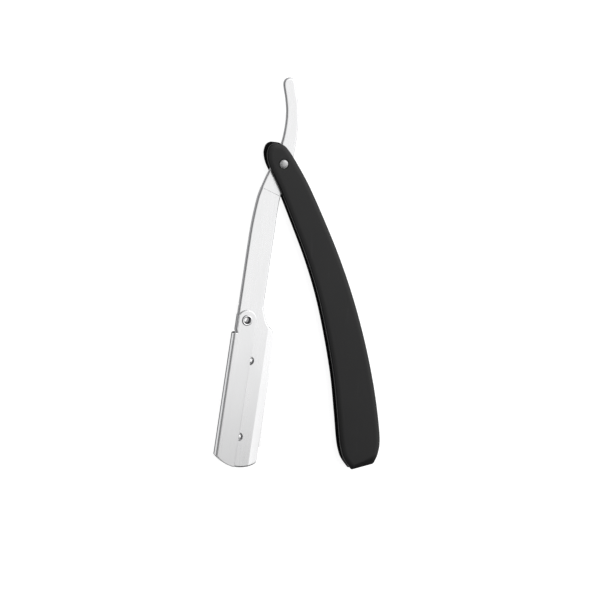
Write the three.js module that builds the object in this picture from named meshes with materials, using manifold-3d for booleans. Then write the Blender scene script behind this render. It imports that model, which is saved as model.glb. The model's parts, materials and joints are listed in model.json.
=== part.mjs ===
// Swing-lock straight razor for half double-edge blades, in millimetres, +Z up.
// It lies flat and part open. The handle is two scales and a butt spacer, the steel arm turns between
// them on the pivot rivet, and a folded clip swings off the holder's spine to free the half blade.
// The design is drawn about the pivot's axis, with z = 0 at the middle of the thickness. The arm, the
// clip and the blade are drawn in the arm's own frame: its -Y runs from the pivot to the tip, and its
// +X points to the cutting edge. At the end the whole model is moved to its bottom centre.
import * as THREE from "three";
import { mergeVertices } from "three/addons/utils/BufferGeometryUtils.js";
import Module from "manifold-3d";

// ---- Driving dimensions ----
const REST_OPENING = 23; // degrees from closed to the pose it is drawn in
const CLOSED_ARM_ANGLE = 16.46; // degrees, the arm's axis from -Y when closed
const ARM_ANGLE = CLOSED_ARM_ANGLE - REST_OPENING;

const HANDLE_THICKNESS = 5.4;
const SCALE_THICKNESS = 1.0;
const SCALE_EDGE = 0.5; // rounded rim on the outer face
const BOSS_RADIUS = 3.8;
const WASHER_RADIUS = 3.4;
const BOSS_FACE_Z = 1.16; // inner face of the moulded boss at the pivot
const BUTT_BEVEL_START = [40.5, -121.3]; // the front scale thins below a line through here
const BUTT_BEVEL_TURN = 23; // degrees, the line from +X
const BUTT_BEVEL_SLOPE = 15;
const PLATE_GAP = 0.03; // between pieces stacked in Z
const RUNNING_FIT = 0.05; // radial

const ARM_THICKNESS = 1.94;
const ARM_EDGE = 0.5; // chamfer round the arm
const TANG_THICKNESS = 1.5;
const SLOT_HALF = 0.07; // half of the gap that the blade slides in
const SPINE_X = -9.1;
const SHANK_RIGHT_X = 1.3;
const PLATE_TOP_Y = -57.5;
const PLATE_EDGE_X = 8.2;
const PLATE_FLAT_X = 4.6; // the hollow bevel starts here
const PLATE_EDGE_Z = 0.3;
const TIP_Y = -123.2;
const TIP_RADIUS = 14.5;
const TIP_CENTRE_X = 0.6;
const TIP_CORNER = 1.6;

const CLIP_PIVOT = [-5.25, -63.7];
const CLIP_SHEET = 0.65;
const CLIP_LOBE = 4.0;
const CLIP_LOBE_LEFT_X = -8.85; // the lobe is trimmed here, just inside the spine
const CLIP_FOLD_TOP_Y = -69.0;
const CLIP_FOLD_CORNER = 1.2;
const CLIP_BEND_RADIUS = 1.0; // outside of the sheet's two bends round the spine

const PIN_X = -1.2;
const PIN_YS = [-80.0, -110.8];
const PIN_RADIUS = 1.0;
const PIN_HOLE_RADIUS = 1.65;

const BLADE_WIDTH = 11;
const BLADE_LENGTH = 43;
const BLADE_THICKNESS = 0.1;
const BLADE_MIDDLE_Y = -93;
const BLADE_SLOT_LENGTH = 38;
const BLADE_SLOT_DEPTH = 1.1;
const BLADE_NOTCH_RADIUS = 2.6;
const BLADE_CORNER = 1.0;

const PIVOT_RADIUS = 1.2;
const PIVOT_HEAD_RADIUS = 1.8;
const FRONT_SEAT_DEPTH = 0.4;
const REAR_SEAT_DEPTH = 0.65;
const REAR_SEAT_RADIUS = 2.7;
const BURR_RADIUS = 2.5;
const BURR_THICKNESS = 0.2;
const ROUND = 32; // segments round a full circle
const CURVE_STEPS = 5; // straight stretches between an outline's points

// ---- Materials ----
const blackPlastic = new THREE.MeshStandardMaterial({ color: 0x2f2f30, roughness: 0.55, metalness: 0 });
const polishedSteel = new THREE.MeshStandardMaterial({ color: 0xdadada, roughness: 0.25, metalness: 1 });
const brushedSteel = new THREE.MeshStandardMaterial({ color: 0xc9cacb, roughness: 0.38, metalness: 1 });
const bladeSteel = new THREE.MeshStandardMaterial({ color: 0xe6e8ea, roughness: 0.15, metalness: 1 });
const nylon = new THREE.MeshStandardMaterial({ color: 0xe9e6dc, roughness: 0.6, metalness: 0 });

// ---- Solids ----
const wasm = await Module();
wasm.setup();

function solid(geometry) {
  const bare = geometry.index ? geometry.toNonIndexed() : geometry.clone();
  bare.deleteAttribute("normal");
  bare.deleteAttribute("uv");
  const merged = mergeVertices(bare, 1e-4);
  return new wasm.Manifold(
    new wasm.Mesh({
      numProp: 3,
      vertProperties: merged.attributes.position.array,
      triVerts: new Uint32Array(merged.index.array),
    }),
  );
}

function mesh(name, made, material) {
  const { vertProperties, triVerts } = made.getMesh();
  const geometry = new THREE.BufferGeometry();
  geometry.setAttribute("position", new THREE.BufferAttribute(vertProperties, 3));
  geometry.setIndex(new THREE.BufferAttribute(triVerts, 1));
  geometry.computeVertexNormals();
  const made3d = new THREE.Mesh(geometry, material);
  made3d.name = name;
  return made3d;
}

// A plan outline between two heights, with an optional 45 degree chamfer on both faces.
function slab(shape, low, high, edge = 0, steps = CURVE_STEPS) {
  const geometry = new THREE.ExtrudeGeometry(shape, {
    depth: high - low - 2 * edge,
    bevelEnabled: edge > 0,
    bevelThickness: edge,
    bevelSize: edge,
    bevelOffset: -edge,
    bevelSegments: 1,
    curveSegments: steps,
  });
  geometry.translate(0, 0, low + edge);
  return solid(geometry);
}

function box(low, high) {
  const size = high.map((v, i) => v - low[i]);
  const geometry = new THREE.BoxGeometry(...size);
  geometry.translate(...low.map((v, i) => v + size[i] / 2));
  return solid(geometry);
}

// A round along Z from low to high, centred on (x, y).
function round(radius, low, high, [x, y] = [0, 0]) {
  const geometry = new THREE.CylinderGeometry(radius, radius, high - low, ROUND);
  geometry.rotateX(Math.PI / 2);
  geometry.translate(x, y, (low + high) / 2);
  return solid(geometry);
}

// A turned piece about Z, from [radius, z] pairs.
function turned(profile, [x, y] = [0, 0]) {
  const points = profile.map(([r, z]) => new THREE.Vector2(r, z));
  const geometry = new THREE.LatheGeometry(points, ROUND);
  geometry.rotateX(Math.PI / 2);
  geometry.translate(x, y, 0);
  return solid(geometry);
}

const vectors = (points) => points.map(([x, y]) => new THREE.Vector2(x, y));

// ---- Handle ----
const scaleInner = HANDLE_THICKNESS / 2 - SCALE_THICKNESS;
const scaleOuter = HANDLE_THICKNESS / 2;

function handleOutline() {
  const shape = new THREE.Shape();
  shape.moveTo(-7.1, 4.4);
  shape.splineThru(
    vectors([
      [-5.9, -0.4],
      [-0.7, -10.3],
      [6.0, -25.2],
      [12.3, -40.0],
      [17.5, -54.8],
      [21.8, -71.0],
      [25.3, -87.5],
      [27.4, -102.0],
      [28.9, -113.5],
      [30.2, -118.8],
      [31.6, -121.7],
      [34.4, -125.3],
    ]),
  );
  shape.lineTo(43.8, -123.3);
  shape.splineThru(
    vectors([
      [45.4, -119.4],
      [46.0, -112.7],
      [43.8, -98.0],
      [40.6, -83.4],
      [36.5, -68.6],
      [31.6, -53.9],
      [25.7, -39.0],
      [18.9, -24.2],
      [11.5, -9.4],
      [5.5, 0.6],
      [2.3, 5.2],
      [0.0, 7.5],
      [-2.6, 8.2],
      [-4.6, 8.3],
      [-6.3, 7.1],
      [-7.1, 4.4],
    ]),
  );
  return shape;
}

// The front scale: rounded rim outside, boss inside, rivet hole and a seat for the rivet's head.
function scaleBlank() {
  const blank = slab(handleOutline(), scaleInner - 2 * SCALE_EDGE, scaleOuter, SCALE_EDGE);
  const inner = box([-40, -160, -10], [80, 40, scaleInner]);
  return blank
    .subtract(inner)
    .add(round(BOSS_RADIUS, BOSS_FACE_Z, scaleInner + 0.5))
    .subtract(round(PIVOT_RADIUS + RUNNING_FIT, -10, 10));
}

function frontScale() {
  const seat = round(PIVOT_HEAD_RADIUS + 0.3, scaleOuter - FRONT_SEAT_DEPTH, scaleOuter + 1);
  const buttBevel = new THREE.BoxGeometry(30, 8, 4);
  buttBevel.translate(0, -4, 2);
  buttBevel.rotateX(THREE.MathUtils.degToRad(BUTT_BEVEL_SLOPE));
  buttBevel.rotateZ(THREE.MathUtils.degToRad(BUTT_BEVEL_TURN));
  buttBevel.translate(...BUTT_BEVEL_START, scaleOuter);
  return scaleBlank().subtract(seat).subtract(solid(buttBevel));
}

function rearScale() {
  const seat = round(REAR_SEAT_RADIUS, scaleOuter - REAR_SEAT_DEPTH, scaleOuter + 1);
  return scaleBlank().subtract(seat).mirror([0, 0, 1]);
}

// Fills the butt between the scales, beyond the reach of the arm's tip.
function buttSpacer() {
  const shape = new THREE.Shape(
    vectors([
      [35.9, -124.1],
      [35.1, -121.7],
      [42.6, -118.8],
      [43.9, -119.8],
      [42.8, -122.6],
    ]),
  );
  return slab(shape, -scaleInner + PLATE_GAP, scaleInner - PLATE_GAP);
}

function pivotRivet() {
  const head = PIVOT_HEAD_RADIUS;
  const seat = scaleOuter - FRONT_SEAT_DEPTH + PLATE_GAP;
  const rearSeat = -(scaleOuter - REAR_SEAT_DEPTH) - BURR_THICKNESS - 2 * PLATE_GAP;
  return turned([
    [0, -scaleOuter],
    [1.5, -scaleOuter],
    [1.9, -scaleOuter + 0.2],
    [1.9, rearSeat],
    [PIVOT_RADIUS, rearSeat],
    [PIVOT_RADIUS, seat],
    [head, seat],
    [head, seat + 0.25],
    [0.9 * head, seat + 0.6],
    [0.67 * head, seat + 0.9],
    [0.36 * head, seat + 1.06],
    [0, seat + 1.1],
  ]);
}

function ring(outer, inner, low, high) {
  return round(outer, low, high).subtract(round(inner, low - 1, high + 1));
}

const rearBurr = () => {
  const top = -(scaleOuter - REAR_SEAT_DEPTH) - PLATE_GAP;
  return ring(BURR_RADIUS, PIVOT_RADIUS + RUNNING_FIT, top - BURR_THICKNESS, top);
};

const tangWasher = (side) => {
  const low = TANG_THICKNESS / 2 + PLATE_GAP;
  const high = BOSS_FACE_Z - PLATE_GAP;
  const made = ring(WASHER_RADIUS, PIVOT_RADIUS + RUNNING_FIT, low, high);
  return side > 0 ? made : made.mirror([0, 0, 1]);
};

// ---- Arm: tail, tang, shank and front blade plate in one stamping ----
const tipCentreY = TIP_Y + TIP_RADIUS;
const tipAngle = (x) => -Math.acos((x - TIP_CENTRE_X) / TIP_RADIUS);

// The holder's lower end, from its edge side round the tip to the x given.
function tipCurve(shape, endX) {
  const corner = tipAngle(PLATE_EDGE_X - TIP_CORNER);
  shape.lineTo(PLATE_EDGE_X, tipCentreY + TIP_RADIUS * Math.sin(corner) + TIP_CORNER);
  shape.quadraticCurveTo(
    PLATE_EDGE_X,
    tipCentreY + TIP_RADIUS * Math.sin(tipAngle(PLATE_EDGE_X)),
    PLATE_EDGE_X - TIP_CORNER,
    tipCentreY + TIP_RADIUS * Math.sin(corner),
  );
  shape.absarc(TIP_CENTRE_X, tipCentreY, TIP_RADIUS, corner, tipAngle(endX), true);
}

function shoulder(shape) {
  shape.splineThru(
    vectors([
      [2.5, -61.6],
      [4.1, -64.8],
      [6.6, -67.2],
      [PLATE_EDGE_X, -70.6],
    ]),
  );
}

function armOutline() {
  const shape = new THREE.Shape();
  shape.moveTo(SHANK_RIGHT_X, -58.0);
  shoulder(shape);
  tipCurve(shape, SPINE_X);
  shape.lineTo(SPINE_X, -33.0);
  shape.splineThru(
    vectors([
      [-8.95, -25.0],
      [-8.3, -16.5],
      [-7.6, -12.2],
      [-5.9, -6.4],
      [-3.4, 0.6],
      [-1.4, 7.6],
      [-0.8, 14.2],
      [-1.1, 20.2],
      [-2.3, 25.6],
      [-3.9, 30.6],
      [-4.0, 32.8],
      [-2.9, 34.0],
      [-1.4, 34.3],
      [-0.1, 33.8],
      [0.6, 32.4],
      [1.5, 29.4],
      [3.0, 25.0],
      [4.2, 19.2],
      [4.8, 13.0],
      [4.8, 6.0],
      [4.2, -1.0],
      [2.8, -8.0],
      [1.5, -14.0],
      [1.2, -20.0],
      [SHANK_RIGHT_X, -26.0],
    ]),
  );
  return shape;
}

// Thins the tang and tail above a line that crosses the tang square to its run.
function tangRelief(side) {
  const geometry = new THREE.BoxGeometry(60, 60, 1);
  geometry.translate(0, 30, 0.5 + TANG_THICKNESS / 2);
  geometry.rotateZ(THREE.MathUtils.degToRad(-20));
  geometry.translate(-2.7, -11.85, 0);
  const made = solid(geometry);
  return side > 0 ? made : made.mirror([0, 0, 1]);
}

// Takes the front face down to the thin edge along the blade.
function edgeBevel() {
  const run = PLATE_EDGE_X - PLATE_FLAT_X;
  const drop = ARM_THICKNESS / 2 - PLATE_EDGE_Z;
  const geometry = new THREE.BoxGeometry(8, 70, 2);
  geometry.translate(4, 0, 1);
  geometry.rotateY(Math.atan2(drop, run));
  geometry.translate(PLATE_FLAT_X, -98, ARM_THICKNESS / 2);
  return solid(geometry);
}

const clipRivetHole = () => round(1.3 + RUNNING_FIT, -10, 10, CLIP_PIVOT);

function bladeArm() {
  const half = ARM_THICKNESS / 2;
  let made = slab(armOutline(), -half, half, ARM_EDGE);
  made = made.subtract(box([-40, -160, -10], [40, PLATE_TOP_Y, SLOT_HALF]));
  made = made.subtract(tangRelief(1)).subtract(tangRelief(-1)).subtract(edgeBevel());
  made = made.subtract(round(PIVOT_RADIUS + RUNNING_FIT, -10, 10)).subtract(clipRivetHole());
  for (const y of PIN_YS) made = made.subtract(round(PIN_HOLE_RADIUS, -10, 10, [PIN_X, y]));
  return made;
}

function rearPlate() {
  const half = ARM_THICKNESS / 2;
  let made = slab(armOutline(), -half, half, ARM_EDGE);
  made = made.subtract(box([-40, PLATE_TOP_Y - 0.3, -10], [40, 60, 10]));
  made = made.subtract(edgeBevel()).subtract(clipRivetHole());
  made = made.subtract(box([-40, -160, -10], [40, 60, SLOT_HALF]));
  made = made.mirror([0, 0, 1]);
  for (const y of PIN_YS) made = made.subtract(round(PIN_RADIUS + 0.03, -10, 10, [PIN_X, y]));
  return made;
}

function locatingPin(y) {
  const low = -ARM_THICKNESS / 2 + 0.02;
  const high = ARM_THICKNESS / 2 - 0.1;
  return turned(
    [
      [0, low],
      [PIN_RADIUS, low],
      [PIN_RADIUS, high - 0.3],
      [0.75, high],
      [0, high],
    ],
    [PIN_X, y],
  );
}

// ---- Swing clip: one sheet folded round the spine in two bends ----
const leafInner = ARM_THICKNESS / 2 + PLATE_GAP;
const leafOuter = leafInner + CLIP_SHEET;
const foldX = SPINE_X + 0.6; // where the leaves end and the fold starts
const clipOuterX = foldX - leafOuter;
const leafRightX = CLIP_PIVOT[0] + CLIP_LOBE;

// From the fold's start down, as far as the tip curve lets it.
function foldOutline() {
  const shape = new THREE.Shape();
  shape.moveTo(foldX, CLIP_FOLD_TOP_Y);
  shape.lineTo(clipOuterX + CLIP_FOLD_CORNER, CLIP_FOLD_TOP_Y);
  shape.absarc(
    clipOuterX + CLIP_FOLD_CORNER,
    CLIP_FOLD_TOP_Y - CLIP_FOLD_CORNER,
    CLIP_FOLD_CORNER,
    Math.PI / 2,
    Math.PI,
    false,
  );
  shape.absarc(TIP_CENTRE_X, tipCentreY, TIP_RADIUS, tipAngle(clipOuterX), tipAngle(foldX), false);
  shape.lineTo(foldX, CLIP_FOLD_TOP_Y);
  return shape;
}

function leafOutline() {
  const [x, y] = CLIP_PIVOT;
  const shape = new THREE.Shape();
  shape.moveTo(foldX, CLIP_FOLD_TOP_Y);
  shape.absarc(TIP_CENTRE_X, tipCentreY, TIP_RADIUS, tipAngle(foldX), tipAngle(leafRightX), false);
  shape.absarc(x, y, CLIP_LOBE, 0, Math.acos((CLIP_LOBE_LEFT_X - x) / CLIP_LOBE), false);
  shape.lineTo(CLIP_LOBE_LEFT_X, CLIP_FOLD_TOP_Y + 0.35);
  return shape;
}

// The sheet's section across the spine, swept along the holder.
function foldTube() {
  const shape = new THREE.Shape();
  const bend = leafOuter - CLIP_BEND_RADIUS;
  const inside = CLIP_BEND_RADIUS - CLIP_SHEET;
  shape.moveTo(0, leafOuter);
  shape.absarc(-bend, bend, CLIP_BEND_RADIUS, Math.PI / 2, Math.PI, false);
  shape.absarc(-bend, -bend, CLIP_BEND_RADIUS, Math.PI, (3 * Math.PI) / 2, false);
  shape.lineTo(0, -leafOuter);
  shape.lineTo(0, -leafInner);
  shape.absarc(-bend, -bend, inside, (3 * Math.PI) / 2, Math.PI, true);
  shape.absarc(-bend, bend, inside, Math.PI, Math.PI / 2, true);
  shape.lineTo(0, leafInner);
  const geometry = new THREE.ExtrudeGeometry(shape, {
    depth: 70,
    bevelEnabled: false,
    curveSegments: ROUND / 4,
  });
  geometry.rotateX(Math.PI / 2);
  geometry.translate(foldX, -60, 0);
  return solid(geometry);
}

function swingClip() {
  const fold = foldTube().intersect(slab(foldOutline(), -5, 5, 0, ROUND / 4));
  const front = slab(leafOutline(), leafInner, leafOuter, 0, ROUND / 4);
  const rear = slab(leafOutline(), -leafOuter, -leafInner, 0, ROUND / 4);
  return fold.add(front).add(rear).subtract(clipRivetHole());
}

// A tubular rivet, open through its middle and rolled over at both ends.
function clipRivet() {
  const seat = leafOuter + PLATE_GAP;
  const front = [
    [1.3, seat],
    [2.1, seat],
    [2.15, seat + 0.15],
    [1.75, seat + 0.42],
    [1.2, seat + 0.42],
    [0.75, seat + 0.1],
  ];
  const rear = front.map(([r, z]) => [r, -z]).reverse();
  return turned([...front, ...rear, front[0]], CLIP_PIVOT);
}

// ---- Half of a double-edge blade ----
function bladeOutline() {
  const left = PIN_X;
  const right = PIN_X + BLADE_WIDTH;
  const top = BLADE_MIDDLE_Y + BLADE_LENGTH / 2;
  const bottom = BLADE_MIDDLE_Y - BLADE_LENGTH / 2;
  const slotTop = BLADE_MIDDLE_Y + BLADE_SLOT_LENGTH / 2;
  const slotBottom = BLADE_MIDDLE_Y - BLADE_SLOT_LENGTH / 2;
  const notch = Math.asin(BLADE_SLOT_DEPTH / BLADE_NOTCH_RADIUS);
  const shape = new THREE.Shape();
  shape.moveTo(left, top);
  shape.lineTo(left, slotTop);
  shape.lineTo(left + BLADE_SLOT_DEPTH, slotTop - BLADE_SLOT_DEPTH);
  shape.absarc(left, BLADE_MIDDLE_Y, BLADE_NOTCH_RADIUS, Math.PI / 2 - notch, notch - Math.PI / 2, true);
  shape.lineTo(left + BLADE_SLOT_DEPTH, slotBottom + BLADE_SLOT_DEPTH / 4);
  shape.lineTo(left, slotBottom);
  shape.lineTo(left, bottom);
  shape.lineTo(right - BLADE_CORNER, bottom);
  shape.lineTo(right, bottom + BLADE_CORNER);
  shape.lineTo(right, top - BLADE_CORNER);
  shape.lineTo(right - BLADE_CORNER, top);
  shape.closePath();
  return shape;
}

const halfBlade = () => slab(bladeOutline(), -BLADE_THICKNESS / 2, BLADE_THICKNESS / 2);

// ---- Assembly ----
const handle = new THREE.Group();
handle.add(mesh("handle_front_scale", frontScale(), blackPlastic));
handle.add(mesh("handle_rear_scale", rearScale(), blackPlastic));
handle.add(mesh("butt_spacer", buttSpacer(), blackPlastic));
handle.add(mesh("pivot_rivet", pivotRivet(), polishedSteel));
handle.add(mesh("pivot_rear_burr", rearBurr(), polishedSteel));
handle.add(mesh("front_tang_washer", tangWasher(1), nylon));
handle.add(mesh("rear_tang_washer", tangWasher(-1), nylon));

const arm = new THREE.Group();
arm.rotation.z = THREE.MathUtils.degToRad(ARM_ANGLE);
arm.add(mesh("blade_arm", bladeArm(), polishedSteel));
arm.add(mesh("rear_blade_plate", rearPlate(), polishedSteel));
arm.add(mesh("upper_locating_pin", locatingPin(PIN_YS[0]), brushedSteel));
arm.add(mesh("lower_locating_pin", locatingPin(PIN_YS[1]), brushedSteel));
arm.add(mesh("clip_rivet", clipRivet(), polishedSteel));
arm.add(mesh("swing_clip", swingClip(), brushedSteel));
arm.add(mesh("half_blade", halfBlade(), bladeSteel));

const razor = new THREE.Group();
razor.add(handle, arm);
const extent = new THREE.Box3().setFromObject(razor, true);
const middle = extent.getCenter(new THREE.Vector3());
razor.position.set(-middle.x, -middle.y, -extent.min.z);

const root = new THREE.Group();
root.add(razor);

export default root;
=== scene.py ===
"""Looks of the swing-lock straight razor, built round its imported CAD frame.

Shapes are drawn in millimetres in the CAD's own design frame: the origin is the pivot rivet's axis at
mid-thickness, and the arm's pieces have -Y towards the tip and +X towards the cutting edge. Each piece's
object is then placed by the frame's joints.
"""

import json
from math import acos, atan2, ceil, cos, pi, radians, sin, sqrt, tan

import bmesh
import bpy
from mathutils import Matrix, Vector


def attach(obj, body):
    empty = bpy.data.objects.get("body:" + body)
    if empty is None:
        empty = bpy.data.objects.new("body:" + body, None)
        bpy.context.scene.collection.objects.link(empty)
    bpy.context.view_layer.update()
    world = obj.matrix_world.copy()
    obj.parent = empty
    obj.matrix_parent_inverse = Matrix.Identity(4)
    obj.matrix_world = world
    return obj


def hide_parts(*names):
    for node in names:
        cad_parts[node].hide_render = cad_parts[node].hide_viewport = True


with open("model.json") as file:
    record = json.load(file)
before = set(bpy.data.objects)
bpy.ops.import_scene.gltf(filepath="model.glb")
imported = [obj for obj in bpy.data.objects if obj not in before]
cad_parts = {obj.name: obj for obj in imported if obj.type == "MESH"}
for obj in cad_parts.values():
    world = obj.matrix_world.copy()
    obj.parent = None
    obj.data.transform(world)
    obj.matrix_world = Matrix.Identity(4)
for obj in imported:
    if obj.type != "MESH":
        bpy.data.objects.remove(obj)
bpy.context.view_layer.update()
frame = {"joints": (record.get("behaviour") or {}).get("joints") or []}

JOINTS = {joint["name"]: joint for joint in frame["joints"]}
PIVOT = Vector(JOINTS["handle_pivot"]["pos_m"])
CLIP_AXIS = Vector(JOINTS["clip_swing"]["pos_m"])
SLIDE = Vector(JOINTS["blade_slide"]["axis"])
ARM_TURN = atan2(SLIDE.y, SLIDE.x)

MM = 0.001
SPAN_STEPS = 10  # straight stretches between two points of an outline
ARC_STEP = radians(4)
EDGE_STEPS = 5  # rings round a rounded edge
SUPPORT = 0.06  # flat margin beside a rounded edge, so that the flats shade flat
ROUND = 96  # segments round a turned piece
SHARP = radians(38)

# ---- Driving dimensions, as in the CAD ----
HANDLE_HALF = 2.7
SCALE_INNER = 1.7
SCALE_RIM = 0.6
SCALE_CROWN = 0.2  # fall of the outer face towards its rim
CROWN_REACH = 2.1
BUTT_BEVEL_POINT = Vector((40.5, -121.3))
BUTT_BEVEL_ANGLE = radians(23)
BUTT_BEVEL_SLOPE = tan(radians(15))
BOSS_RADIUS = 3.8
WASHER_RADIUS = 3.4
BOSS_FACE = 1.16
RIVET_HOLE = 1.25
STACK_GAP = 0.03  # between pieces stacked in Z
HEAD_RADIUS = 1.8
HEAD_SEAT = HANDLE_HALF - 0.4
REAR_SEAT_RADIUS = 2.7
REAR_SEAT = HANDLE_HALF - 0.65
BURR_RADIUS = 2.5
BURR_THICKNESS = 0.2

ARM_HALF = 0.97
ARM_RIM = 0.7
TANG_HALF = 0.75
SLOT_HALF = 0.07
SPINE_X = -9.1
SHANK_RIGHT_X = 1.3
PLATE_TOP = -57.5
PLATE_JOINT = 0.3  # the rear plate starts this far below the front one
HOLDER_CORNER = 0.55  # reach of the arm's and rear plate's softened corners
PLATE_EDGE_X = 8.2
PLATE_FLAT_X = 4.6
PLATE_EDGE_Z = 0.3
STEP_POINT = Vector((-2.7, -11.85))
STEP_ANGLE = radians(-20)
TIP_Y = -123.2
TIP_RADIUS = 14.5
TIP_CENTRE = Vector((0.6, TIP_Y + TIP_RADIUS))
TIP_CORNER = 1.6

CLIP_PIVOT = (CLIP_AXIS - PIVOT).to_2d() @ Matrix.Rotation(ARM_TURN, 2) / MM
CLIP_LOBE = 4.0
CLIP_LOBE_LEFT = -8.85
CLIP_HALF = 0.325
CLIP_MIDDLE = 1.325  # the folded sheet's middle, from the arm's middle
CLIP_EDGE = 0.28
CLIP_HOLE = 1.35
FOLD_X = -8.5
FOLD_TOP = -69.0
FOLD_CORNER = 1.2
FOLD_BEND = 0.675  # radius of the sheet's middle in its two bends round the spine
FOLD_FLAT = CLIP_MIDDLE - FOLD_BEND  # from the leaf to the first bend, and half the back's height
FOLD_LENGTH = 4 * FOLD_FLAT + pi * FOLD_BEND
LEAF_RIGHT = CLIP_PIVOT.x + CLIP_LOBE

PIN_X = -1.2
PIN_YS = (-80.0, -110.8)
PIN_RADIUS = 1.0
PIN_HOLE = 1.65

BLADE_RIGHT = PIN_X + 11
BLADE_MIDDLE = -93
BLADE_HALF_LENGTH = 21.5
BLADE_HALF = 0.05


# ---- Outlines: lists of points in a plane ----
def points(*pairs):
    return [Vector(pair) for pair in pairs]


def spline(through, steps=SPAN_STEPS):
    """A uniform Catmull-Rom curve through the points."""
    ends = [through[0], *through, through[-1]]
    made = []
    for before, start, end, after in zip(ends, ends[1:], ends[2:], ends[3:]):
        for step in range(steps):
            t = step / steps
            leaving = (end - before) / 2
            arriving = (after - start) / 2
            square = -3 * start + 3 * end - 2 * leaving - arriving
            cube = 2 * start - 2 * end + leaving + arriving
            made.append(start + leaving * t + square * t**2 + cube * t**3)
    return [*made, through[-1]]


def arc(centre, radius, start, end):
    """An arc about centre from one angle to another, with both ends."""
    steps = max(2, ceil(abs(end - start) / ARC_STEP))
    angles = [start + (end - start) * step / steps for step in range(steps + 1)]
    return [Vector((centre[0] + radius * cos(a), centre[1] + radius * sin(a))) for a in angles]


def bend(start, control, end, steps=8):
    """A quadratic curve from start to end, both included."""
    made = []
    for step in range(steps + 1):
        t = step / steps
        made.append(start * (1 - t) ** 2 + control * 2 * t * (1 - t) + end * t**2)
    return made


def closed(*stretches):
    """One anticlockwise outline from its stretches, without doubled points."""
    made = []
    for point in (p for stretch in stretches for p in stretch):
        if not made or (point - made[-1]).length > 0.01:
            made.append(point)
    if (made[0] - made[-1]).length < 0.01:
        made.pop()
    area = sum(a.cross(b) for a, b in zip(made, made[1:] + made[:1]))
    return made if area > 0 else made[::-1]


def softened(outline, reach, sharp=radians(24)):
    """The outline with each sharp corner turned into a short curve."""
    after = outline[1:] + outline[:1]
    before = outline[-1:] + outline[:-1]
    corners = [
        point
        for a, point, b in zip(before, outline, after)
        if (point - a).angle(b - point) > sharp
    ]
    made = []
    for a, point, b in zip(before, outline, after):
        if point in corners:
            start = point + (a - point).normalized() * reach
            end = point + (b - point).normalized() * reach
            made += bend(start, point, end, 6)
        elif all((point - corner).length > reach * 1.15 for corner in corners):
            made.append(point)
    return made


def inset(outline, distance):
    """The outline moved inwards, each corner along its mitre."""
    moved = []
    for i, point in enumerate(outline):
        before = (point - outline[i - 1]).normalized()
        after = (outline[(i + 1) % len(outline)] - point).normalized()
        inward = Vector((-before.y - after.y, before.x + after.x))
        moved.append(point + inward * (distance / (1 + before.dot(after))))
    return moved


def rim(low, high, low_edge, high_edge):
    """(inset, z) pairs up a plate's side, with a quarter round of each radius at its two edges."""
    made = [(low_edge + SUPPORT, low)]
    for step in range(EDGE_STEPS + 1):
        a = pi / 2 * step / EDGE_STEPS
        made.append((low_edge * (1 - sin(a)), low + low_edge * (1 - cos(a))))
    for step in range(EDGE_STEPS + 1):
        a = pi / 2 * step / EDGE_STEPS
        made.append((high_edge * (1 - cos(a)), high - high_edge * (1 - sin(a))))
    return [*made, (high_edge + SUPPORT, high)]


# ---- Meshes ----
def loop(mesh, outline, z):
    return [mesh.verts.new((point.x, point.y, z)) for point in outline]


def skin(mesh, rings):
    """Quads between each ring of vertices and the next."""
    for low, high in zip(rings, rings[1:]):
        for i in range(len(low)):
            mesh.faces.new((low[i - 1], low[i], high[i], high[i - 1]))


def cap(mesh, rings):
    """Fills the flat between an outer ring and any rings of holes in it."""
    pairs = [(ring[i - 1], ring[i]) for ring in rings for i in range(len(ring))]
    bmesh.ops.triangle_fill(mesh, use_beauty=True, edges=[mesh.edges.get(pair) for pair in pairs])


def circle(centre, radius, count=ROUND):
    steps = [2 * pi * step / count for step in range(count)]
    return [Vector((centre[0] + radius * cos(a), centre[1] + radius * sin(a))) for a in steps]


def plate(outline, side, holes=()):
    """A closed plate: its outline, (inset, z) pairs up its side, and holes.

    A hole is (centre, [(radius, z), ...]), with its pairs from the low face to the high one.
    """
    mesh = bmesh.new()
    wall = [loop(mesh, inset(outline, distance), z) for distance, z in side]
    skin(mesh, wall)
    bores = []
    for centre, profile in holes:
        bores.append([loop(mesh, circle(centre, radius), z) for radius, z in profile])
        skin(mesh, bores[-1])
    for end in (0, -1):
        cap(mesh, [wall[end], *(bore[end] for bore in bores)])
    bmesh.ops.recalc_face_normals(mesh, faces=mesh.faces)
    return mesh


def turned(profile, centre=(0, 0), hollow=False):
    """A turned piece from (radius, z) pairs. A hollow one's profile closes on itself."""
    mesh = bmesh.new()
    rings = []
    for radius, z in profile:
        if radius:
            rings.append(loop(mesh, circle(centre, radius), z))
        else:
            rings.append([mesh.verts.new((centre[0], centre[1], z))] * ROUND)
    if hollow:
        rings.append(rings[0])
    for low, high in zip(rings, rings[1:]):
        for i in range(ROUND):
            corners = dict.fromkeys((low[i - 1], low[i], high[i], high[i - 1]))
            mesh.faces.new(corners)
    bmesh.ops.recalc_face_normals(mesh, faces=mesh.faces)
    return mesh


def cut(mesh, point, normal):
    """Adds edges where a plane that stands on the XY plane crosses the mesh."""
    bmesh.ops.bisect_plane(
        mesh,
        geom=[*mesh.verts, *mesh.edges, *mesh.faces],
        dist=1e-5,
        plane_co=(point[0], point[1], 0),
        plane_no=(normal[0], normal[1], 0),
    )


def flipped(mesh):
    """The mesh mirrored in Z."""
    for vertex in mesh.verts:
        vertex.co.z = -vertex.co.z
    bmesh.ops.reverse_faces(mesh, faces=mesh.faces)
    return mesh


def rounded(profile, steps=5):
    """A smooth (radius, z) profile through the given pairs."""
    return [(max(point.x, 0), point.y) for point in spline(points(*profile), steps)]


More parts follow.
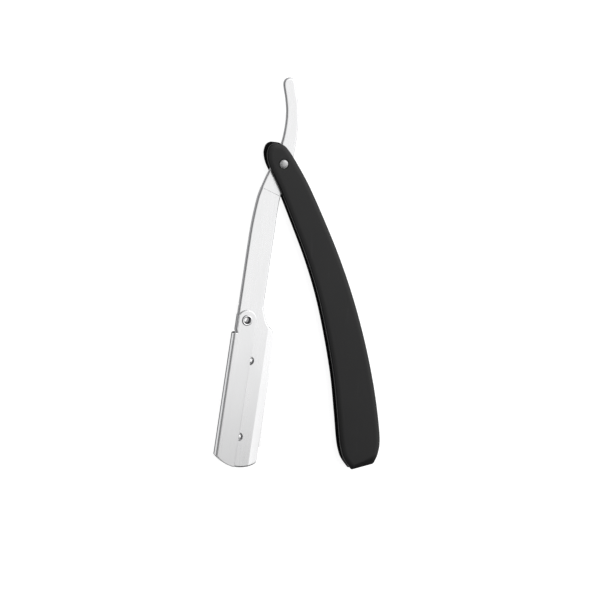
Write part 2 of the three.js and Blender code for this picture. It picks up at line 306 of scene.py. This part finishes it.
def piece(node, mesh, body, material, turn=0.0):
    """Puts a finished mesh in the scene in place of its CAD node."""
    data = bpy.data.meshes.new(node + "_finished")
    mesh.to_mesh(data)
    mesh.free()
    data.transform(Matrix.Scale(MM, 4))
    data.shade_smooth()
    data.set_sharp_from_angle(angle=SHARP)
    data.materials.append(material)
    made = bpy.data.objects.new(node + "_finished", data)
    bpy.context.scene.collection.objects.link(made)
    made.location = PIVOT
    made.rotation_euler.z = turn
    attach(made, body)
    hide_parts(node)
    return made


# ---- Materials ----
RANGE_SOCKETS = ("From Min", "From Max", "To Min", "To Max")


class Nodes:
    """Short calls for one material's node tree."""

    def __init__(self, name):
        self.material = bpy.data.materials.new(name)
        self.material.use_nodes = True
        self.tree = self.material.node_tree
        self.shader = self.tree.nodes["Principled BSDF"]
        self.place = self.add("ShaderNodeTexCoord").outputs["Object"]

    def add(self, kind, **settings):
        node = self.tree.nodes.new(kind)
        for key, value in settings.items():
            setattr(node, key, value)
        return node

    def link(self, source, target):
        self.tree.links.new(source, target)

    def set(self, **values):
        for key, value in values.items():
            self.shader.inputs[key.replace("_", " ")].default_value = value

    def stretched(self, scale):
        mapping = self.add("ShaderNodeMapping")
        mapping.inputs["Scale"].default_value = scale
        self.link(self.place, mapping.inputs["Vector"])
        return mapping.outputs["Vector"]

    def noise(self, scale, detail=3.0, roughness=0.5):
        node = self.add("ShaderNodeTexNoise")
        node.inputs["Scale"].default_value = 1.0
        node.inputs["Detail"].default_value = detail
        node.inputs["Roughness"].default_value = roughness
        self.link(self.stretched(scale), node.inputs["Vector"])
        return node.outputs["Fac"]

    def ranged(self, value, low, high, to_low, to_high):
        node = self.add("ShaderNodeMapRange", interpolation_type="SMOOTHSTEP")
        for socket, number in zip(RANGE_SOCKETS, (low, high, to_low, to_high)):
            node.inputs[socket].default_value = number
        self.link(value, node.inputs["Value"])
        return node.outputs["Result"]

    def maths(self, operation, first, second):
        node = self.add("ShaderNodeMath", operation=operation)
        for socket, value in zip(node.inputs, (first, second)):
            if isinstance(value, (int, float)):
                socket.default_value = value
            else:
                self.link(value, socket)
        return node.outputs["Value"]

    def mixed(self, factor, first, second):
        """A colour between two, which are colours or outputs."""
        node = self.add("ShaderNodeMix", data_type="RGBA")
        self.link(factor, node.inputs["Factor"])
        for socket, value in zip((node.inputs[6], node.inputs[7]), (first, second)):
            if isinstance(value, tuple):
                socket.default_value = (*value, 1)
            else:
                self.link(value, socket)
        return node.outputs[2]

    def level(self):
        """How level the surface is in the piece's own frame: 1 on its two faces, 0 on its sides."""
        coordinates = self.add("ShaderNodeTexCoord")
        parts = self.add("ShaderNodeSeparateXYZ")
        self.link(coordinates.outputs["Normal"], parts.inputs["Vector"])
        return self.maths("ABSOLUTE", parts.outputs["Z"], 0)

    def painted_low_shade(self, high, low):
        """Rises to 1 down a side, from one height to another: the mask of the painted shade on a side's
        lower part, which stands in for the table's shadow that the side reflects.
        """
        parts = self.add("ShaderNodeSeparateXYZ")
        self.link(self.place, parts.inputs["Vector"])
        return self.ranged(parts.outputs["Z"], high, low, 0.0, 1.0)

    def bump(self, height, strength, distance):
        node = self.add("ShaderNodeBump")
        node.inputs["Strength"].default_value = strength
        node.inputs["Distance"].default_value = distance
        self.link(height, node.inputs["Height"])
        self.link(node.outputs["Normal"], self.shader.inputs["Normal"])


STAMPED_SIDE_PAINTED_SHADE = (0.0001, -0.0006, 0.3)  # painted shade on a stamped side's lower part: heights it falls between, and the share of colour low down
# painted shade, darker and reaching higher, on the lower part of the clip's folded back
FOLD_PAINTED_SHADE = (0.0004, -0.0003, 0.06)


def steel(name, face, side, rough, brush, side_rough=0.5, shade=STAMPED_SIDE_PAINTED_SHADE):
    """Satin steel: a brushed face along the piece's length, and sides of their own colour, darker or
    lighter as painted light and shade, in part a duller stamped finish, with painted shade on their lower
    part.
    """
    nodes = Nodes(name)
    nodes.set(Metallic=1.0)
    across, along = brush
    grain = nodes.noise((across, along, across), 4.0, 0.6)
    cloud = nodes.noise((90, 40, 90), 2.0)
    scratches = nodes.noise((across * 2.5, along * 0.6, across * 2.5), 2.0, 0.4)
    worn = nodes.ranged(scratches, 0.60, 0.72, 0.0, 1.0)
    level = nodes.level()
    flat = nodes.ranged(level, 0.72, 0.985, 0.0, 1.0)
    tint = nodes.mixed(nodes.ranged(grain, 0.3, 0.7, 0.0, 1.0), tuple(v * 0.98 for v in face), face)
    tint = nodes.mixed(nodes.maths("MULTIPLY", worn, 0.35), tint, tuple(v * 0.9 for v in face))
    high, low, share = shade
    # painted shade: the side colour darkens down the side's lower part
    side = nodes.mixed(nodes.painted_low_shade(high, low), side, tuple(v * share for v in side))
    # faces and sides mixed by how level the surface is; the side colour carries painted light and shade
    nodes.link(nodes.mixed(flat, side, tint), nodes.shader.inputs["Base Color"])
    sheen = nodes.ranged(grain, 0.25, 0.75, rough - 0.05, rough + 0.05)
    sheen = nodes.maths("ADD", sheen, nodes.ranged(cloud, 0.3, 0.7, -0.02, 0.02))
    side_sheen = nodes.maths("MULTIPLY", nodes.maths("SUBTRACT", 1.0, flat), side_rough - rough)
    nodes.link(nodes.maths("ADD", sheen, side_sheen), nodes.shader.inputs["Roughness"])
    nodes.bump(nodes.maths("SUBTRACT", grain, nodes.maths("MULTIPLY", worn, 0.6)), 0.14, 0.00002)
    return nodes.material


def moulded_plastic():
    """Satin black moulded plastic: a fine spark-eroded grain and faint handling marks."""
    nodes = Nodes("satin_black_plastic")
    nodes.set(Specular_IOR_Level=0.26, IOR=1.5)
    grain = nodes.noise((5200, 5200, 5200), 3.0, 0.6)
    cloud = nodes.noise((55, 55, 55), 3.0, 0.5)
    marks = nodes.noise((900, 70, 900), 2.0, 0.4)
    rubbed = nodes.maths("MULTIPLY", nodes.ranged(marks, 0.62, 0.74, 0.0, 1.0), 0.4)
    patchy = nodes.ranged(cloud, 0.3, 0.7, 0.0, 1.0)
    base = nodes.mixed(patchy, (0.005, 0.005, 0.0053), (0.0075, 0.0075, 0.0078))
    colour = nodes.mixed(rubbed, base, (0.011, 0.011, 0.0115))
    nodes.link(colour, nodes.shader.inputs["Base Color"])
    sheen = nodes.ranged(cloud, 0.3, 0.7, 0.36, 0.41)
    sheen = nodes.maths("SUBTRACT", sheen, nodes.maths("MULTIPLY", rubbed, 0.12))
    nodes.link(sheen, nodes.shader.inputs["Roughness"])
    nodes.bump(grain, 0.22, 0.00004)
    return nodes.material


def natural_nylon():
    nodes = Nodes("natural_nylon")
    nodes.set(Roughness=0.55, Subsurface_Weight=0.1, Subsurface_Scale=0.001)
    cloudy = nodes.ranged(nodes.noise((700, 700, 700), 3.0), 0.3, 0.7, 0.0, 1.0)
    colour = nodes.mixed(cloudy, (0.72, 0.70, 0.62), (0.8, 0.78, 0.71))
    nodes.link(colour, nodes.shader.inputs["Base Color"])
    nodes.bump(nodes.noise((3000, 3000, 3000), 2.0), 0.15, 0.00003)
    return nodes.material


PLASTIC = moulded_plastic()
NYLON = natural_nylon()
# Side colours: the arm's, the pins' and rivet's and the blade's are darker, partly a duller cut finish and
# partly painted shade; the clip's fold and the pivot head's rim are set lighter as painted light.
ARM_STEEL = steel("satin_arm_steel", (0.62, 0.62, 0.624), (0.36, 0.36, 0.37), 0.30, (2600, 90))
CLIP_STEEL = steel(
    "brushed_clip_steel", (0.61, 0.61, 0.614), (0.66, 0.66, 0.67), 0.32, (3400, 60), 0.36, FOLD_PAINTED_SHADE
)
BLADE_STEEL = steel("ground_blade_steel", (0.92, 0.92, 0.925), (0.6, 0.6, 0.61), 0.2, (90, 3800), 0.3)
RIVET_STEEL = steel("polished_rivet_steel", (0.62, 0.62, 0.624), (0.38, 0.38, 0.39), 0.2, (900, 900), 0.26)
PIVOT_STEEL = steel("dull_pivot_steel", (0.37, 0.37, 0.374), (0.56, 0.56, 0.565), 0.58, (900, 900), 0.62)


# ---- Handle ----
def handle_outline():
    left = spline(
        points(
            (-7.1, 4.4),
            (-5.9, -0.4),
            (-0.7, -10.3),
            (6.0, -25.2),
            (12.3, -40.0),
            (17.5, -54.8),
            (21.8, -71.0),
            (25.3, -87.5),
            (27.4, -102.0),
            (28.9, -113.5),
            (30.2, -118.8),
            (31.6, -121.7),
            (34.4, -125.3),
        )
    )
    right = spline(
        points(
            (43.8, -123.3),
            (45.4, -119.4),
            (46.0, -112.7),
            (43.8, -98.0),
            (40.6, -83.4),
            (36.5, -68.6),
            (31.6, -53.9),
            (25.7, -39.0),
            (18.9, -24.2),
            (11.5, -9.4),
            (5.5, 0.6),
            (2.3, 5.2),
            (0.0, 7.5),
            (-2.6, 8.2),
            (-4.6, 8.3),
            (-6.3, 7.1),
            (-7.1, 4.4),
        )
    )
    return softened(closed(left, right), 0.65)


def scale_mesh(seat_radius, seat):
    """A scale in its front position: boss inside, rivet hole, and a seat for the rivet's head."""
    lip = 0.12
    hole = [
        (BOSS_RADIUS + 0.3 + SUPPORT, SCALE_INNER),
        (BOSS_RADIUS + 0.3, SCALE_INNER),
        (BOSS_RADIUS + 0.09, SCALE_INNER - 0.09),
        (BOSS_RADIUS, SCALE_INNER - 0.3),
        (BOSS_RADIUS, BOSS_FACE + 0.1),
        (BOSS_RADIUS - 0.1, BOSS_FACE),
        (RIVET_HOLE + 0.1, BOSS_FACE),
        (RIVET_HOLE, BOSS_FACE + 0.1),
        (RIVET_HOLE, seat),
        (seat_radius, seat),
        (seat_radius, HANDLE_HALF - lip),
        (seat_radius + lip * 0.3, HANDLE_HALF - lip * 0.3),
        (seat_radius + lip, HANDLE_HALF),
        (seat_radius + lip + SUPPORT, HANDLE_HALF),
    ]
    side = rim(SCALE_INNER, HANDLE_HALF - SCALE_CROWN, 0.12, SCALE_RIM)[:-1]
    for share in (0.3, 0.6, 0.85, 1):
        distance = SCALE_RIM + (CROWN_REACH - SCALE_RIM) * share
        side.append((distance, HANDLE_HALF - SCALE_CROWN * (1 - share) ** 2))
    return plate(handle_outline(), side, [((0, 0), hole)])


def front_scale():
    """The butt end is taken down in a plain bevel, crossing it at a slant."""
    mesh = scale_mesh(HEAD_RADIUS + 0.3, HEAD_SEAT)
    across = Vector((sin(BUTT_BEVEL_ANGLE), -cos(BUTT_BEVEL_ANGLE)))
    crest = 0.5
    for offset in (-crest - SUPPORT, -crest, -crest / 2, 0, crest / 2, crest, crest + SUPPORT):
        cut(mesh, BUTT_BEVEL_POINT + across * offset, across)
    for vertex in mesh.verts:
        past = (vertex.co.to_2d() - BUTT_BEVEL_POINT).dot(across)
        if past > -crest:
            run = past if past > crest else (past + crest) ** 2 / (4 * crest)
            drop = run * BUTT_BEVEL_SLOPE / (HANDLE_HALF - SCALE_INNER)
            vertex.co.z -= (vertex.co.z - SCALE_INNER) * drop
    return mesh


def butt_spacer():
    shape = points((35.9, -124.1), (35.1, -121.7), (42.6, -118.8), (43.9, -119.8), (42.8, -122.6))
    half = SCALE_INNER - STACK_GAP
    return plate(softened(closed(shape), 0.5), rim(-half, half, 0.15, 0.15))


def pivot_rivet():
    seat = HEAD_SEAT + STACK_GAP
    rear = -REAR_SEAT - BURR_THICKNESS - 2 * STACK_GAP
    shank = RIVET_HOLE - 0.05
    low = [(0, -HANDLE_HALF), (1.35, -HANDLE_HALF)]
    low += [(1.6, -HANDLE_HALF + 0.04), (1.85, -HANDLE_HALF + 0.18), (1.9, -HANDLE_HALF + 0.28)]
    low += [(1.9, rear), (shank, rear), (shank, seat), (HEAD_RADIUS - 0.04, seat)]
    edge = [(HEAD_RADIUS, seat + 0.05), (HEAD_RADIUS, seat + 0.22)]
    crown = [edge[-1], (1.7, seat + 0.55), (1.25, seat + 0.9), (0.65, seat + 1.07), (0, seat + 1.1)]
    return turned([*low, *edge, *rounded(crown)[1:]])


def ring_piece(outer, low, high, edge):
    """A flat ring on the pivot's shank, its edges broken."""
    inner = RIVET_HOLE
    profile = [(inner, low + edge), (inner + edge, low), (outer - edge, low), (outer, low + edge)]
    profile += [(outer, high - edge), (outer - edge, high), (inner + edge, high), (inner, high - edge)]
    return turned(profile, hollow=True)


def pivot_rear_burr():
    high = -REAR_SEAT - STACK_GAP
    return ring_piece(BURR_RADIUS, high - BURR_THICKNESS, high, 0.05)


def tang_washer():
    return ring_piece(WASHER_RADIUS, TANG_HALF + STACK_GAP, BOSS_FACE - STACK_GAP, 0.07)


# ---- Arm ----
def tip_y(x):
    return TIP_CENTRE.y - sqrt(TIP_RADIUS**2 - (x - TIP_CENTRE.x) ** 2)


def tip_angle(x):
    return -acos((x - TIP_CENTRE.x) / TIP_RADIUS)


def holder_outline(top):
    """The holder's right side, its tip and its spine, from the given height down."""
    shoulder = spline(
        points(
            (SHANK_RIGHT_X, -58.0),
            (2.5, -61.6),
            (4.1, -64.8),
            (6.6, -67.2),
            (PLATE_EDGE_X, -70.6),
        )
    )
    corner_x = PLATE_EDGE_X - TIP_CORNER
    corner = bend(
        Vector((PLATE_EDGE_X, tip_y(corner_x) + TIP_CORNER)),
        Vector((PLATE_EDGE_X, tip_y(PLATE_EDGE_X))),
        Vector((corner_x, tip_y(corner_x))),
    )
    tip = arc(TIP_CENTRE, TIP_RADIUS, tip_angle(corner_x), tip_angle(SPINE_X))
    return [*shoulder, *corner, *tip, Vector((SPINE_X, top))]


def arm_outline():
    shank_and_tail = spline(
        points(
            (SPINE_X, -33.0),
            (-8.95, -25.0),
            (-8.3, -16.5),
            (-7.6, -12.2),
            (-5.9, -6.4),
            (-3.4, 0.6),
            (-1.4, 7.6),
            (-0.8, 14.2),
            (-1.1, 20.2),
            (-2.3, 25.6),
            (-3.9, 30.6),
            (-4.0, 32.8),
            (-2.9, 34.0),
            (-1.4, 34.3),
            (-0.1, 33.8),
            (0.6, 32.4),
            (1.5, 29.4),
            (3.0, 25.0),
            (4.2, 19.2),
            (4.8, 13.0),
            (4.8, 6.0),
            (4.2, -1.0),
            (2.8, -8.0),
            (1.5, -14.0),
            (1.2, -20.0),
            (SHANK_RIGHT_X, -26.0),
        )
    )
    return softened(closed(holder_outline(-33.0), shank_and_tail), HOLDER_CORNER)


def bevel_top(x):
    """Height of a holder plate's outer face: flat, then a shallow hollow bevel to its edge."""
    run = min(max((x - PLATE_FLAT_X) / (PLATE_EDGE_X - PLATE_FLAT_X), 0), 1)
    return ARM_HALF - (ARM_HALF - PLATE_EDGE_Z) * (1 - (1 - run) ** 1.25)


def bevelled(mesh):
    """Takes the outer face of a front plate down along its right side."""
    run = PLATE_EDGE_X - PLATE_FLAT_X
    for share in (-0.03, -0.01, 0.01, 0.04, 0.1, 0.2, 0.32, 0.45, 0.6, 0.75, 0.88):
        cut(mesh, (PLATE_FLAT_X + run * share, 0), (1, 0))
    for vertex in mesh.verts:
        x, y, z = vertex.co
        if y < PLATE_TOP and x > PLATE_FLAT_X:
            share = (bevel_top(x) - SLOT_HALF) / (ARM_HALF - SLOT_HALF)
            vertex.co.z = SLOT_HALF + (z - SLOT_HALF) * share
    return mesh


def through_hole(centre, radius, low, high):
    edge = 0.1
    profile = [(radius + edge + SUPPORT, low), (radius + edge, low), (radius, low + edge)]
    profile += [(radius, high - edge), (radius + edge, high), (radius + edge + SUPPORT, high)]
    return (centre, profile)


def blade_arm():
    """Tail, tang and shank at full thickness, and the front plate at half of it."""
    holes = [through_hole((0, 0), RIVET_HOLE, -ARM_HALF, ARM_HALF)]
    holes.append(through_hole(CLIP_PIVOT, CLIP_HOLE, -ARM_HALF, ARM_HALF))
    holes += [through_hole((PIN_X, y), PIN_HOLE, -ARM_HALF, ARM_HALF) for y in PIN_YS]
    mesh = plate(arm_outline(), rim(-ARM_HALF, ARM_HALF, ARM_RIM, ARM_RIM), holes)
    step = 0.12
    up = Vector((-sin(STEP_ANGLE), cos(STEP_ANGLE)))
    for offset in (-SUPPORT, 0, step / 2, step, step + SUPPORT):
        cut(mesh, STEP_POINT + up * offset, up)
    for offset in (SUPPORT, 0, -0.03, -0.03 - SUPPORT):
        cut(mesh, (0, PLATE_TOP + offset), (0, 1))
    for vertex in mesh.verts:
        past = (vertex.co.to_2d() - STEP_POINT).dot(up)
        share = min(max(past / step, 0), 1)
        share = share * share * (3 - 2 * share)
        vertex.co.z *= 1 - share * (1 - TANG_HALF / ARM_HALF)
        if vertex.co.y < PLATE_TOP - 0.01:
            vertex.co.z = max(vertex.co.z, SLOT_HALF)
    return bevelled(mesh)


def rear_blade_plate():
    outline = softened(closed(holder_outline(PLATE_TOP - PLATE_JOINT)), HOLDER_CORNER)
    holes = [through_hole(CLIP_PIVOT, CLIP_HOLE, SLOT_HALF, ARM_HALF)]
    holes += [through_hole((PIN_X, y), PIN_RADIUS + 0.03, SLOT_HALF, ARM_HALF) for y in PIN_YS]
    mesh = plate(outline, rim(SLOT_HALF, ARM_HALF, 0.05, ARM_RIM), holes)
    return flipped(bevelled(mesh))


def locating_pin(y):
    low = -ARM_HALF + 0.02
    high = ARM_HALF - 0.1
    dome = rounded([(PIN_RADIUS, high - 0.3), (0.88, high - 0.1), (0.55, high - 0.01), (0, high)], 4)
    return turned([(0, low), (PIN_RADIUS - 0.06, low), (PIN_RADIUS, low + 0.06), *dome], (PIN_X, y))


def clip_rivet():
    """A tubular rivet, rolled over at both ends."""
    seat = CLIP_MIDDLE + CLIP_HALF + STACK_GAP
    roll = [(1.3, seat), (2.1, seat), (2.15, seat + 0.14), (2.02, seat + 0.33), (1.78, seat + 0.42)]
    roll += [(1.52, seat + 0.36), (1.3, seat + 0.1), (1.1, seat - 0.4), (0.95, seat - 1.0)]
    front = [roll[0], *rounded(roll[1:], 5)]
    rear = [(radius, -z) for radius, z in reversed(front)]
    return turned([*front, *rear], CLIP_PIVOT, hollow=True)


# ---- Swing clip: drawn as its flat blank, then folded ----
def leaf_half():
    """Half of the blank's outline, from the fold's lower end round the front leaf to the fold's top."""
    lobe = acos((CLIP_LOBE_LEFT - CLIP_PIVOT.x) / CLIP_LOBE)
    lower = arc(TIP_CENTRE, TIP_RADIUS, tip_angle(FOLD_X), tip_angle(LEAF_RIGHT))
    head = arc(CLIP_PIVOT, CLIP_LOBE, 0, lobe)
    relief = bend(
        Vector((CLIP_LOBE_LEFT, FOLD_TOP + 1.2)),
        Vector((CLIP_LOBE_LEFT, FOLD_TOP + 0.55)),
        Vector((FOLD_X, FOLD_TOP + 0.25)),
    )
    return [*lower, *head, *relief, Vector((FOLD_X, FOLD_TOP))]


def over_spine(distance, height=0.0):
    """(x, z) of the folded sheet that far along its fold, at a height over its middle."""
    if distance > FOLD_LENGTH / 2:
        x, z = over_spine(FOLD_LENGTH - distance, height)
        return x, -z
    if distance < FOLD_FLAT:
        return FOLD_X - distance, CLIP_MIDDLE + height
    bend_turn = min((distance - FOLD_FLAT) / FOLD_BEND, pi / 2)
    radius = FOLD_BEND + height
    down_the_back = max(distance - FOLD_FLAT - FOLD_BEND * pi / 2, 0)
    x = FOLD_X - FOLD_FLAT - radius * sin(bend_turn)
    return x, FOLD_FLAT + radius * cos(bend_turn) - down_the_back


def fold_edge(height, steps=48):
    """The fold's upper or lower edge on the blank, from the front leaf to the rear one."""
    made = []
    for step in range(1, steps):
        distance = FOLD_LENGTH * step / steps
        made.append(Vector((FOLD_X - distance, height(over_spine(distance)[0]))))
    return made


def fold_top_y(x):
    corner_x = FOLD_X - CLIP_MIDDLE - CLIP_HALF + FOLD_CORNER
    reach = min(x - corner_x, 0)
    return FOLD_TOP - FOLD_CORNER + sqrt(FOLD_CORNER**2 - reach**2)


def over_the_fold(outline):
    return [Vector((2 * FOLD_X - FOLD_LENGTH - point.x, point.y)) for point in reversed(outline)]


def folded(point):
    """Where a point of the flat blank goes when the sheet is folded round the spine."""
    x, y, height = point
    distance = FOLD_X - x
    if 0 < distance < FOLD_LENGTH and y <= FOLD_TOP + 0.01:
        x, z = over_spine(distance, height)
        return x, y, z
    if distance < FOLD_LENGTH / 2:
        return x, y, CLIP_MIDDLE + height
    return 2 * FOLD_X - FOLD_LENGTH - x, y, -CLIP_MIDDLE - height


def swing_clip():
    front = leaf_half()
    outline = closed(front, fold_edge(fold_top_y), over_the_fold(front), fold_edge(tip_y)[::-1])
    side = rim(-CLIP_HALF, CLIP_HALF, CLIP_EDGE, CLIP_EDGE)
    rear_pivot = (2 * FOLD_X - FOLD_LENGTH - CLIP_PIVOT.x, CLIP_PIVOT.y)
    holes = [through_hole(centre, CLIP_HOLE, -CLIP_HALF, CLIP_HALF) for centre in (CLIP_PIVOT, rear_pivot)]
    mesh = plate(outline, side, holes)
    bends = 40
    for step in range(-1, bends + 2):
        cut(mesh, (FOLD_X - FOLD_LENGTH * step / bends, 0), (1, 0))
    for vertex in mesh.verts:
        vertex.co = folded(vertex.co)
    return mesh


# ---- Half blade ----
def half_blade():
    """A double-edge blade snapped down its slot, with its ground facets along the cutting edge."""
    slot_depth = 1.1
    slot_half = 19
    notch = 2.6
    corner = 1
    left = PIN_X
    reach = acos(slot_depth / notch)
    upper = BLADE_MIDDLE + slot_half
    lower = BLADE_MIDDLE - slot_half
    inner = left + slot_depth
    top = BLADE_MIDDLE + BLADE_HALF_LENGTH
    bottom = BLADE_MIDDLE - BLADE_HALF_LENGTH
    outline = closed(
        points((left, top), (left, upper), (inner, upper - slot_depth)),
        arc((left, BLADE_MIDDLE), notch, reach, -reach),
        points((inner, lower + slot_depth), (left, lower), (left, bottom)),
        points((BLADE_RIGHT - corner, bottom), (BLADE_RIGHT, bottom + corner)),
        points((BLADE_RIGHT, top - corner), (BLADE_RIGHT - corner, top)),
    )
    edge = 0.01
    side = [(edge, -BLADE_HALF), (0, -BLADE_HALF + edge), (0, BLADE_HALF - edge), (edge, BLADE_HALF)]
    mesh = plate(softened(outline, 0.25), side)
    facets = ((1.3, 1.0), (0.6, 0.9), (0.0, 0.08))  # distance from the edge, share of the thickness
    for distance, _ in facets[:-1]:
        for margin in (-0.02, 0, 0.02):
            cut(mesh, (BLADE_RIGHT - distance + margin, 0), (1, 0))
    for vertex in mesh.verts:
        distance = BLADE_RIGHT - vertex.co.x
        for (far, thick), (near, thin) in zip(facets, facets[1:]):
            if near <= distance < far:
                vertex.co.z *= thin + (thick - thin) * (distance - near) / (far - near)
                break
    return mesh


# ---- Pieces ----
def build_handle():
    piece("handle_front_scale", front_scale(), "handle", PLASTIC)
    rear = flipped(scale_mesh(REAR_SEAT_RADIUS, REAR_SEAT))
    piece("handle_rear_scale", rear, "handle", PLASTIC)
    piece("butt_spacer", butt_spacer(), "handle", PLASTIC)
    piece("pivot_rivet", pivot_rivet(), "handle", PIVOT_STEEL)
    piece("pivot_rear_burr", pivot_rear_burr(), "handle", PIVOT_STEEL)
    piece("front_tang_washer", tang_washer(), "handle", NYLON)
    piece("rear_tang_washer", flipped(tang_washer()), "handle", NYLON)


def build_arm():
    piece("blade_arm", blade_arm(), "arm", ARM_STEEL, ARM_TURN)
    piece("rear_blade_plate", rear_blade_plate(), "arm", ARM_STEEL, ARM_TURN)
    for node, y in zip(("upper_locating_pin", "lower_locating_pin"), PIN_YS):
        piece(node, locating_pin(y), "arm", RIVET_STEEL, ARM_TURN)
    piece("clip_rivet", clip_rivet(), "arm", RIVET_STEEL, ARM_TURN)
    piece("swing_clip", swing_clip(), "clip", CLIP_STEEL, ARM_TURN)
    piece("half_blade", half_blade(), "blade", BLADE_STEEL, ARM_TURN)


# ---- Stage, lights and camera ----
VIEW_TILT = radians(25)  # of the view from straight above the razor
VIEW_SIDE = radians(150)  # where the camera leans to, from +X
VIEW_TARGET = PIVOT + Vector((0.0089, -0.0542, 0.0023))
VIEW_WIDTH = 0.2362
VIEW_DISTANCE = 6.0
SENSOR = 36.0
IMAGE_UP = Vector((0.041, 0.976, -0.211))


def make_camera():
    data = bpy.data.cameras.new("camera")
    data.sensor_width = SENSOR
    data.lens = SENSOR * VIEW_DISTANCE / VIEW_WIDTH
    data.clip_end = 20
    camera = bpy.data.objects.new("camera", data)
    bpy.context.scene.collection.objects.link(camera)
    lean = sin(VIEW_TILT)
    back = Vector((cos(VIEW_SIDE) * lean, sin(VIEW_SIDE) * lean, cos(VIEW_TILT)))
    right = IMAGE_UP.cross(back).normalized()
    up = back.cross(right)
    turn = Matrix((right, up, back)).transposed()
    camera.matrix_world = Matrix.Translation(VIEW_TARGET + back * VIEW_DISTANCE) @ turn.to_4x4()
    bpy.context.scene.camera = camera


FLOOR_RADIUS = 4.0
FLOOR_Z = -0.0002  # just under the razor, so that the two never share a plane


def make_floor():
    nodes = Nodes("pale_floor")
    nodes.set(Base_Color=(0.4, 0.4, 0.4, 1), Roughness=0.8, Specular_IOR_Level=0.1)
    nodes.set(Emission_Color=(1, 1, 1, 1), Emission_Strength=0.86)
    mesh = bmesh.new()
    mesh.faces.new(loop(mesh, circle((0, 0), FLOOR_RADIUS), FLOOR_Z))
    data = bpy.data.meshes.new("floor")
    mesh.to_mesh(data)
    mesh.free()
    data.materials.append(nodes.material)
    floor = bpy.data.objects.new("floor", data)
    bpy.context.scene.collection.objects.link(floor)


SOFTBOX_PLACE = (0.03, 0.102, 0.16)
SOFTBOX_AIM = (0.03, 0.102, 0)
SOFTBOX_SIZE = (0.18, 0.39)
SOFTBOX_RADIANCE = 0.48


def make_softbox(name, place, aim, size, radiance):
    """A soft rectangular light of a given radiance, facing its aim."""
    data = bpy.data.lights.new(name, "AREA")
    data.shape = "RECTANGLE"
    data.size, data.size_y = size
    data.energy = radiance * pi * size[0] * size[1]
    light = bpy.data.objects.new(name, data)
    light.location = place
    light.rotation_euler = (Vector(aim) - Vector(place)).to_track_quat("-Z", "Y").to_euler()
    light.visible_camera = False
    bpy.context.scene.collection.objects.link(light)


WORLD_KEY = Vector((0.8, 0.32, 0.52)).normalized()
WORLD_DIM = 0.32
WORLD_BRIGHT = 2.9
WORLD_FALL = 4
NEAR_WALL = (-0.62, -0.3, 0.12, 1.0)  # from and to in the direction's Y, and the share of light there


def make_world():
    """A studio bright above and to the right, dim to the left, and dark on the near side."""
    world = bpy.data.worlds.new("studio")
    world.use_nodes = True
    tree = world.node_tree

    def add(kind, operation, *sources):
        node = tree.nodes.new(kind)
        node.operation = operation
        for socket, source in zip(node.inputs, sources):
            if isinstance(source, bpy.types.NodeSocket):
                tree.links.new(source, socket)
            else:
                socket.default_value = source
        return node.outputs["Value"]

    place = tree.nodes.new("ShaderNodeTexCoord").outputs["Generated"]
    towards = add("ShaderNodeVectorMath", "DOT_PRODUCT", place, WORLD_KEY)
    falling = add("ShaderNodeMath", "POWER", add("ShaderNodeMath", "MAXIMUM", towards, 0), WORLD_FALL)
    studio = add("ShaderNodeMath", "MULTIPLY_ADD", falling, WORLD_BRIGHT, WORLD_DIM)
    parts = tree.nodes.new("ShaderNodeSeparateXYZ")
    tree.links.new(place, parts.inputs["Vector"])
    wall = tree.nodes.new("ShaderNodeMapRange")
    wall.interpolation_type = "SMOOTHSTEP"
    for socket, number in zip(RANGE_SOCKETS, NEAR_WALL):
        wall.inputs[socket].default_value = number
    tree.links.new(parts.outputs["Y"], wall.inputs["Value"])
    background = tree.nodes["Background"]
    background.inputs["Color"].default_value = (1, 1, 1, 1)
    strength = add("ShaderNodeMath", "MULTIPLY", studio, wall.outputs["Result"])
    tree.links.new(strength, background.inputs["Strength"])
    bpy.context.scene.world = world


make_camera()
make_world()
make_floor()
make_softbox("overhead_softbox", SOFTBOX_PLACE, SOFTBOX_AIM, SOFTBOX_SIZE, SOFTBOX_RADIANCE)
bpy.context.scene.view_settings.view_transform = "Standard"
build_handle()
build_arm()
